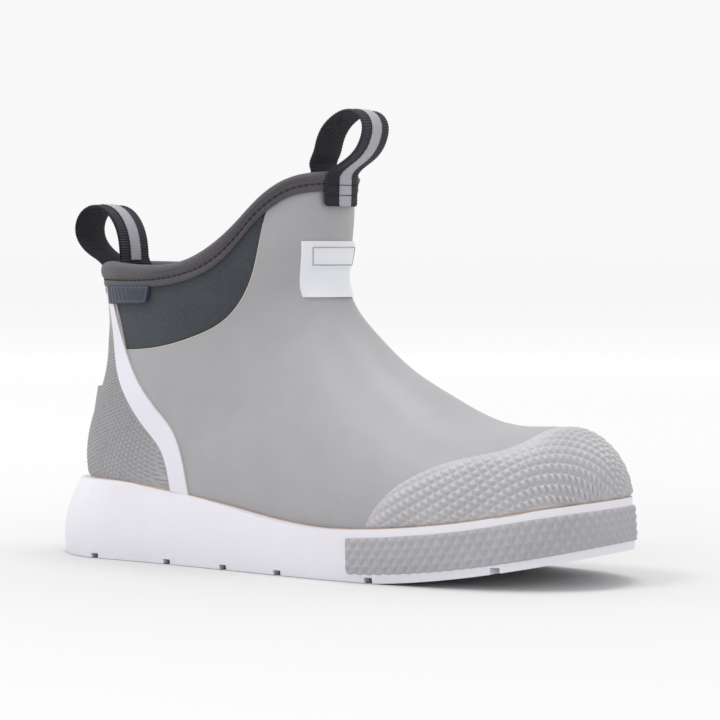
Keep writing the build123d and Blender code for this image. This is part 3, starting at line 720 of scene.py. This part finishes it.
tree = bvh_of(base)
xs = np.linspace(-136.0, 128.0, 200)
rows = []
for x0 in xs:
    z0 = float(lasting(x0)) + FOOT_FLOOR
    edges = []
    for side in (-1, 1):
        hit, _ = cast(tree, (x0, 0, z0), (0, side, 0))
        edges.append(abs(hit[1]) if hit is not None else 2.0)
    share = np.sin(np.linspace(-math.pi / 2, math.pi / 2, 81))
    y = np.where(share < 0, share * edges[0], share * edges[1])
    cup = 3.2 * np.abs(share) ** 6 * (1 if x0 < 40 else 0.5)
    rows.append(np.stack([np.full(81, x0), y * 0.995, z0 + 0.1 + cup], axis=1))
bed = np.array(rows)
x, y = bed[..., 0], bed[..., 1]
bed[..., 2] += 0.12 * np.sin(x * 2 * math.pi / 2.6) * np.sin(y * 2 * math.pi / 2.6)
footbed = grid_object("footbed_top", bed, M["footbed"], uv=(x, y), flip=True)
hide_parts("footbed_cover")

# ------------------------------------------------------------------ toe bumper on the sole's wall

def wall_points(s, z, grow):
    """Points of the sole's flared wall; s counts outline arcs, z in millimetres."""
    heights = np.array([level[0] for level in SOLE_LEVELS])
    nets = []
    for _, heel_in, toe_in, heel_side, toe_side in SOLE_LEVELS:
        net = []
        for arc in SOLE_OUTLINE:
            row = []
            for px, py in arc:
                forward = (px - HEEL_X) / (TOE_X - HEEL_X)
                inset = heel_side + (toe_side - heel_side) * forward - grow
                span = TOE_X - HEEL_X - heel_in - toe_in + 2 * grow
                row.append((HEEL_X + heel_in - grow + forward * span, py * (1 - inset / SOLE_HALF_WIDTH)))
            net.append(row)
        nets.append(net)
    levels = spline_at(np.array(nets), heights, z)
    s = np.asarray(s, float)
    arc = np.clip(s.astype(int), 0, 6)
    k = s - arc
    weights = np.stack([(1 - k) ** 3, 3 * k * (1 - k) ** 2, 3 * k * k * (1 - k), k ** 3], 1)
    flat = np.einsum("nskd,sk->nsd", levels[:, arc], weights)
    rise = np.broadcast_to(np.asarray(z)[:, None, None], flat.shape[:2] + (1,))
    return np.concatenate([flat, rise], axis=2)


def sole_bottom(x):
    """Height of the sole's underside: it rises towards the toe, and a little at the heel's back edge."""
    spring = 15.0 * np.clip((x - 42.0) / 103.0, 0, None) ** 1.6
    return spring + np.where(x < -125, 3.0 * ((-125 - x) / 20.0) ** 2, 0.0)


s = np.linspace(1.9, 4.4, 860)
zs = np.linspace(1.0, 37.0, 110)
base = wall_points(s, zs, 0.0)
normal = -normals_of(base)
centre = np.array([60.0, 0.0, 20.0])
if ((base - centre) * normal).sum() < 0:
    normal = -normal
x, z = base[..., 0], base[..., 2]
low = sole_bottom(x) + BUMPER_MARGIN
high = midsole_top(x) - BUMPER_MARGIN
along, across = runs(base, len(s) // 2)
edge = np.minimum(np.minimum(z - low, high - z), x - BUMPER_REAR)
share = (z - low) / np.maximum(high - low, 1.0)
rows_up = share * BUMPER_ROWS
relief = pyramid(across / BUMPER_PITCH + rows_up / 2, across / BUMPER_PITCH - rows_up / 2)
height = (0.25 + 0.95 * relief) * smooth(edge, -0.1, 0.5) - 0.4 * (1 - smooth(edge, -0.7, 0.1))
bumper = grid_object("toe_bumper_pyramids", base + normal * height[..., None], M["bumper"],
                     keep=edge > -0.9, uv=(across, z))
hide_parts("toe_bumper")

# ------------------------------------------------------------------ side label

corners = np.array([(-108.5, 126.0), (-76, 126.0), (-79, 118), (-107.5, 117)])
tree = upper_bvh(1.25)
nx, nz = 150, 44
patch = np.zeros((nz, nx, 3))
patch_n = np.zeros((nz, nx, 3))
for i in range(nz):
    for j in range(nx):
        a, b = i / (nz - 1), j / (nx - 1)
        top = corners[0] * (1 - b) + corners[1] * b
        bottom = corners[3] * (1 - b) + corners[2] * b
        spot = top * (1 - a) + bottom * a
        hit, nrm = cast(tree, (spot[0], -80, spot[1]), (0, 1, 0))
        patch[i, j] = hit
        patch_n[i, j] = nrm if nrm[1] < 0 else -nrm
along, across = runs(patch, 0)
rim = np.minimum.reduce([np.minimum(np.arange(nz), np.arange(nz)[::-1])[:, None] * np.ones((1, nx)),
                         np.minimum(np.arange(nx), np.arange(nx)[::-1])[None, :] * np.ones((nz, 1))])
height = 0.55 * smooth(rim, -0.5, 2.5) - 0.45 * (rim < 0.5) + 0.05 * np.sin(across * 2 * math.pi / 0.9)
label = grid_object("side_label_woven", patch + patch_n * height[..., None], M["label"],
                    uv=(across, along))
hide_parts("side_label")
band = (rim >= 4) & (rim <= 6)
grid_object("side_label_border", patch + patch_n * (height + 0.06)[..., None], M["border"],
            uv=(across, along), keep=band)

# ------------------------------------------------------------------ cement lines and badge frame

SKEW = np.array([0.31, 0.17, 0.93])  # a direction that no line on the boot runs in


def tube(name, pts, radius, mat, closed=False):
    """A thin round line through points."""
    pts = np.asarray(pts, float)
    step = np.roll(pts, -1, 0) - np.roll(pts, 1, 0) if closed else np.gradient(pts, axis=0)
    step /= np.linalg.norm(step, axis=1, keepdims=True) + 1e-9
    side = np.cross(step, SKEW)
    side /= np.linalg.norm(side, axis=1, keepdims=True) + 1e-9
    over = np.cross(side, step)
    turn = np.linspace(0, 2 * math.pi, 8, endpoint=False)
    rim = side[:, None] * np.cos(turn)[None, :, None] + over[:, None] * np.sin(turn)[None, :, None]
    grid = pts[:, None] + radius * rim
    if closed:
        grid = np.concatenate([grid, grid[:1]], axis=0)
    along, across = runs(grid, 0)
    return grid_object(name, grid, mat, uv=(along, across), wrap=True)


def side_line(line, side, grow, count=160):
    """A side-view line laid on one side of the upper."""
    tree = upper_bvh(grow)
    found = []
    for x0, z0 in spline(line, count):
        hit, _ = cast(tree, (x0, -90 * side, z0), (0, side, 0))
        if hit is not None:
            found.append(hit)
    return found


t = np.linspace(-0.9, 10.85, 420)
halves = []
for v0, v1 in ((2.0, 4.0), (2.0, 0.0)):
    v = np.linspace(v0, v1, 500)
    grid = sheet_points(t, np.clip(v, 0, 3.9999), 0.35)
    gap = grid[..., 2] - midsole_top(grid[..., 0])
    first = np.argmax(gap < 0, axis=1)
    ok = first > 0
    rows_at = np.arange(len(t))[ok]
    g0, g1 = gap[rows_at, first[ok] - 1], gap[rows_at, first[ok]]
    share = (g0 / (g0 - g1 + 1e-9))[:, None]
    halves.append(grid[rows_at, first[ok] - 1] * (1 - share) + grid[rows_at, first[ok]] * share)
joint = np.concatenate([halves[0][::-1], halves[1]], axis=0)
tube("sole_cement_line", joint, 0.36, M["cement"], closed=True)
for label, side in (("lateral", 1), ("medial", -1)):
    edge = [p for p in side_line(STRIPE_FRONT, side, 0.15) if midsole_top(p[0]) < p[2] < 121]
    tube("stripe_cement_line_" + label, edge, 0.22, M["seam"])
    edge = [p for p in side_line(GUSSET_EDGE, side, -0.05) if p[2] < collar_top(p[0]) - 12]
    tube("gusset_seam_line_" + label, edge, 0.22, M["seam"])

tree = upper_bvh(1.55)
frame_pts = []
corners = [(-17.0, 143.2), (17.0, 143.2), (15.8, 135.3), (-15.8, 135.3)]
for a, b in zip(corners, corners[1:] + corners[:1]):
    for k in range(24):
        y0, z0 = (a[0] + (b[0] - a[0]) * k / 24, a[1] + (b[1] - a[1]) * k / 24)
        hit, _ = cast(tree, (90, y0, z0), (-1, 0, 0))
        frame_pts.append(hit)
tube("badge_frame_line", frame_pts, 0.28, M["grey_line"], closed=True)

# ------------------------------------------------------------------ pull loops

YAW = math.radians(4.0)
ALONG = np.array([math.cos(YAW), math.sin(YAW), 0.0])
WIDTH_DIR = np.array([-math.sin(YAW), math.cos(YAW), 0.0])
HALF_WIDTH = 12.0
MIDDLE = 24  # the column of the strap's grid that runs down its middle
TAPE_COLUMNS = 9
CORNER = 2.2  # radius of the outer end's lower corners
PATCH_SLIDE = -2.2  # how far the front loop's outer end is sewn to the boot's outer side


def strap(route, pivot, legs):
    """Webbing from one sewn end, over the free loop, to the other sewn end.

    legs: for the inner and outer leg, (lowest z, growth of the surface it lies on). Returns the middle
    surface, its outward normals and its measures, as grids of rows along the webbing by columns across it.
    """
    (in_low, in_grow), (out_low, out_grow) = legs
    front = pivot[0] > -50
    toward = 1.0 if front else -1.0
    inner_z = np.linspace(in_low, route[0][1] - 4.0, 7)
    outer_z = np.linspace(route[-1][1] - 4.0, out_low, 6)

    def wall_x(zv, grow, wv):
        tree = upper_bvh(grow)
        spot = np.array([-50.0, 0, zv]) + WIDTH_DIR * wv
        hit, _ = cast(tree, (spot[0], spot[1], zv), (toward, 0, 0))
        return hit[0] if hit is not None else float("nan")

    inner_route = [(wall_x(zv, in_grow, 0.0), zv) for zv in inner_z]
    outer_route = [(wall_x(zv, out_grow, 0.0), zv) for zv in outer_z]
    full = spline(inner_route + list(route) + outer_route, 330)
    weight = smooth(full[:, 1], pivot[1] - 1.0, pivot[1] + 7.0)
    peak = int(np.argmax(full[:, 1]))
    spread = np.linspace(-1, 1, 2 * MIDDLE + 1)
    step = np.linalg.norm(np.diff(full, axis=0), axis=1).mean()
    rows = []
    for i, (px, pz) in enumerate(full):
        grow = in_grow if i < peak else out_grow
        flat = np.array([pivot[0], 0.0, 0.0]) + ALONG * (px - pivot[0]) + np.array([0, 0, pz])
        left = min((len(full) - 1 - i) * step, CORNER)
        reach = HALF_WIDTH - CORNER * (1 - math.sqrt(max(1 - ((CORNER - left) / CORNER) ** 2, 0.0)))
        slide = PATCH_SLIDE * (1 - weight[i]) if front and i > peak else 0.0
        across_at = spread * reach + slide
        line = flat + WIDTH_DIR * across_at[:, None]
        if weight[i] < 1.0:
            centre_x = wall_x(pz, grow, 0.0)
            for j, wv in enumerate(across_at):
                wall = wall_x(pz, grow, wv)
                if wall == wall and centre_x == centre_x:
                    line[j, 0] = line[j, 0] * weight[i] + (px + wall - centre_x) * (1 - weight[i])
        rows.append(line)
    mid = np.array(rows)
    normal = normals_of(mid)
    if (normal[peak] * np.array([0, 0, 1.0])).sum() < 0:
        normal = -normal
    along, across = runs(mid, MIDDLE)
    return mid, normal, along, across


def solid_strap(name, mid, normal, along, across, thick, mat, ribs, pitch=1.25):
    """Turns a middle surface into webbing with two faces, rounded edges and woven ribs."""
    columns = across.shape[1]
    edge = 1 - np.abs(np.linspace(-1, 1, columns))
    soft = np.sqrt(np.clip(1 - (1 - np.clip(edge / 0.08, 0, 1)) ** 2, 0, 1))
    weave = ribs * np.sin(along * 2 * math.pi / pitch)
    weave = weave + 0.4 * ribs * np.sin(across * 2 * math.pi / 1.0)
    top = mid + normal * ((thick * soft[None, :] + weave * soft[None, :])[..., None])
    bottom = mid - normal * ((thick * soft[None, :] + weave * soft[None, :])[..., None])
    loop = np.concatenate([top, bottom[:, ::-1]], axis=1)
    uv_a = np.concatenate([along, along[:, ::-1]], axis=1)
    uv_b = np.concatenate([across, across[:, ::-1]], axis=1)
    first = np.concatenate([mid[0], mid[0][::-1]], axis=0)[None]
    last = np.concatenate([mid[-1], mid[-1][::-1]], axis=0)[None]
    loop = np.concatenate([first, loop, last], axis=0)
    uv_a = np.concatenate([uv_a[:1], uv_a, uv_a[-1:]], axis=0)
    uv_b = np.concatenate([uv_b[:1], uv_b, uv_b[-1:]], axis=0)
    obj = grid_object(name, loop, mat, body=None, uv=(uv_a, uv_b), wrap=True)
    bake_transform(obj)
    return obj


# name, route, pivot, legs, the tape's start above the pivot, stitch rows above the outer end's edge
for name, route, pivot, legs, tape_rise, stitch_rises in (
    ("front", FRONT_LOOP, (0.5, 174.5), ((158.0, -7.6), (161.5, 2.2)), 14.0, (9.5, 5.0)),
    ("rear", REAR_LOOP, (-118.0, 132.5), ((118.0, -7.6), (121.0, 2.2)), 4.5, (8.0, 3.5)),
):
    mid, normal, along, across = strap(route, pivot, legs)
    web = solid_strap(name + "_webbing", mid, normal, along, across, 0.68, M["webbing"], 0.15)
    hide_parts(name + "_loop", name + "_loop_inner_end", name + "_loop_outer_end")
    peak = int(np.argmax(mid[:, MIDDLE, 2]))
    # The tape lies on the outer face, from the inner leg over the loop and down to the sewn end.
    start = int(np.argmax(mid[:, MIDDLE, 2] > pivot[1] + tape_rise))
    part = (slice(start, None), slice(MIDDLE - TAPE_COLUMNS, MIDDLE + TAPE_COLUMNS + 1))
    tape = solid_strap(name + "_tape", mid[part] + normal[part] * 0.95, normal[part], along[part],
                       across[part], 0.16, M["tape"], 0.03, 0.9)
    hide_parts(*([name + "_reflective_strip"] + (["front_patch_strip"] if name == "front" else [])))
    # Thread rows along both edges of the tape, and stitches across the sewn end.
    ends = []
    run = along[:, MIDDLE]
    for column in (MIDDLE - TAPE_COLUMNS + 1, MIDDLE + TAPE_COLUMNS - 1):
        for s0 in np.arange(run[start] + 1.0, run[-1] - 2.0, 2.4):
            seam = mid[:, column] + normal[:, column] * 1.12
            pts = [np.array([np.interp(s0 + d, run, seam[:, k]) for k in range(3)]) for d in (0, 1.5)]
            i = int(np.searchsorted(run, s0))
            ends.append((pts[0], pts[1], normal[min(i, len(run) - 1), column]))
    edge_thread = capsules(name + "_tape_thread", ends, 0.16, M["pale_thread"], body=None, sides=5)
    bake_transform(edge_thread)
    ends = []
    for rise in stitch_rises:
        level = legs[1][0] + rise
        i = peak + int(np.argmin(np.abs(mid[peak:, MIDDLE, 2] - level)))
        line = mid[i] + normal[i] * 1.15
        for j in range(4, 43, 3):
            ends.append((line[j], line[j + 2], normal[i, j]))
    capsules(name + "_end_stitches", ends, 0.30, M["thread"], body="boot")

# ------------------------------------------------------------------ studio

FLOOR_HALF, FLOOR_Z = 40, -0.0002
floor_corners = [(x * FLOOR_HALF, y * FLOOR_HALF, FLOOR_Z) for x, y in ((-1, -1), (1, -1), (1, 1), (-1, 1))]
floor_mesh = bpy.data.meshes.new("studio_floor")
floor_mesh.from_pydata(floor_corners, [], [(0, 1, 2, 3)])


def floor_fade(out):
    """A little darker near the lights, so that the floor looks evenly lit."""
    speckle(out)
    length = out["nt"].nodes.new("ShaderNodeVectorMath")
    length.operation = "LENGTH"
    out["nt"].links.new(out["coords"].outputs["Object"], length.inputs[0])
    near = out["nt"].nodes.new("ShaderNodeMapRange")
    near.inputs["From Min"].default_value = 0.0
    near.inputs["From Max"].default_value = 2.2
    near.inputs["To Min"].default_value = 0.9
    near.inputs["To Max"].default_value = 0.0
    out["nt"].links.new(length.outputs["Value"], near.inputs["Value"])
    tint(out, near.outputs["Result"], (0.62, 0.62, 0.62), 1.0)


pale = material("StudioFloor", (0.99, 0.99, 0.99), 0.9, floor_fade, vary=0.003, specular=0.0)
floor_mesh.materials.append(pale)
floor = bpy.data.objects.new("studio_floor", floor_mesh)
bpy.context.scene.collection.objects.link(floor)

world = bpy.data.worlds.new("Studio")
world.use_nodes = True
world.node_tree.nodes["Background"].inputs["Color"].default_value = (1, 1, 1, 1)
world.node_tree.nodes["Background"].inputs["Strength"].default_value = 0.94
bpy.context.scene.view_settings.view_transform = "Standard"
bpy.context.scene.world = world


def area_light(name, place, target, size, power):
    """A round soft light at place, pointed at target."""
    data = bpy.data.lights.new(name, "AREA")
    data.shape = "DISK"
    data.size = size
    data.energy = power
    obj = bpy.data.objects.new(name, data)
    obj.location = place
    obj.rotation_mode = "QUATERNION"
    obj.rotation_quaternion = (Vector(target) - Vector(place)).to_track_quat("-Z", "Y")
    bpy.context.scene.collection.objects.link(obj)


area_light("key_light", (-0.5, -0.9, 1.7), (0, 0, 0.08), 0.6, 8)
area_light("side_light", (-1.6, -0.2, 0.8), (0, 0, 0.08), 0.8, 1.5)
area_light("top_light", (0.1, 0.2, 1.8), (0, 0, 0.05), 0.7, 9)

camera_data = bpy.data.cameras.new("camera")
camera_data.sensor_width = 36.0
camera_data.lens = 135.125
camera_data.clip_start, camera_data.clip_end = 0.01, 50
camera = bpy.data.objects.new("camera", camera_data)
bpy.context.scene.collection.objects.link(camera)
pitch_down = math.radians(2.33)
heading = math.radians(33.0)
level = math.cos(pitch_down)
look = Vector((-math.sin(heading) * level, math.cos(heading) * level, -math.sin(pitch_down)))
camera.location = (0.672, -1.014, 0.142)
camera.rotation_mode = "QUATERNION"
camera.rotation_quaternion = look.to_track_quat("-Z", "Y")
bpy.context.scene.camera = camera
